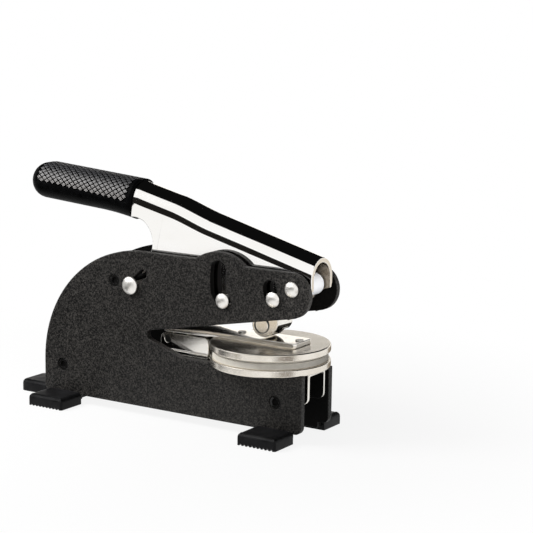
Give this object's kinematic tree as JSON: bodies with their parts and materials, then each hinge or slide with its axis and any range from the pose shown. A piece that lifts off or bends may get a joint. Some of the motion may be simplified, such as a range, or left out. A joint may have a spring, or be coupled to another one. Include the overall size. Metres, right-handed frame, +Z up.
{
  "type": "desk embosser",
  "caption": "Desk embosser with black side plates on rubber feet, a chrome lever with rubber grip, a press link, a slide lock and a hinged insert with round die holders.",
  "frame": {"origin": "under the middle of the overall length and width, on the table", "axes": "+X from the tail foot to the die end, +Y to the left side, +Z up"},
  "size_m": [0.1324, 0.0454, 0.0897],
  "materials": {
    "black_coat": "crinkle powder coat",
    "spacer_steel": "dark plated",
    "black_screw": "black oxide",
    "foot_rubber": "smooth rubber",
    "lever_chrome": "polished",
    "grip_rubber": "knurled",
    "pin_steel": "satin",
    "white_nylon": "smooth",
    "insert_nickel": "nickel plated, lightly brushed",
    "die_plastic": "matte"
  },
  "bodies": {
    "frame": {"right_side_plate": "black_coat", "left_side_plate": "black_coat", "rear_spacer": "spacer_steel", "top_spacer": "spacer_steel", "front_spacer": "spacer_steel", "right_frame_screws": "black_screw", "left_frame_screws": "black_screw", "front_right_foot": "foot_rubber", "front_left_foot": "foot_rubber", "rear_right_foot": "foot_rubber", "rear_left_foot": "foot_rubber", "tail_foot": "foot_rubber", "tail_bracket": "black_coat", "pivot_pin": "pin_steel", "lower_arm": "insert_nickel", "lower_die_holder": "insert_nickel", "counter_die": "die_plastic", "lower_rivets": "pin_steel", "hinge_pin": "pin_steel"},
    "handle": {"handle_lever": "lever_chrome", "handle_grip": "grip_rubber", "pivot_bush": "white_nylon", "press_pin": "pin_steel", "guide_pin": "pin_steel"},
    "press_foot": {"press_link": "lever_chrome", "press_toe": "pin_steel", "toe_rivet": "pin_steel"},
    "upper_jaw": {"upper_arm": "insert_nickel", "upper_die_holder": "insert_nickel", "embossing_die": "die_plastic", "upper_rivets": "pin_steel"},
    "lock": {"lock_pin": "pin_steel", "lock_knobs": "pin_steel"}
  },
  "joints": [
    {"name": "handle_lift", "type": "hinge", "parent": "frame", "child": "handle", "pos_m": [0.05922, 0, 0.05475], "axis": [0, 1, 0], "range_deg": [0, 22]},
    {"name": "press_foot_hang", "type": "hinge", "parent": "handle", "child": "press_foot", "pos_m": [0.05181, 0, 0.0504], "axis": [0, -1, 0], "range_deg": [0, 22]},
    {"name": "upper_jaw_swing", "type": "hinge", "parent": "frame", "child": "upper_jaw", "pos_m": [0.00343, 0, 0.0293], "axis": [0, -1, 0], "range_deg": [0, 4.5]},
    {"name": "lock_slide", "type": "slide", "parent": "frame", "child": "lock", "axis": [0.7547, 0, 0.6561], "range_m": [0, 0.007]}
  ],
  "couplings": [
    {"joint": "press_foot_hang", "follows": "handle_lift", "ratio": 1},
    {"joint": "upper_jaw_swing", "follows": "handle_lift", "ratio": 0.204}
  ]
}
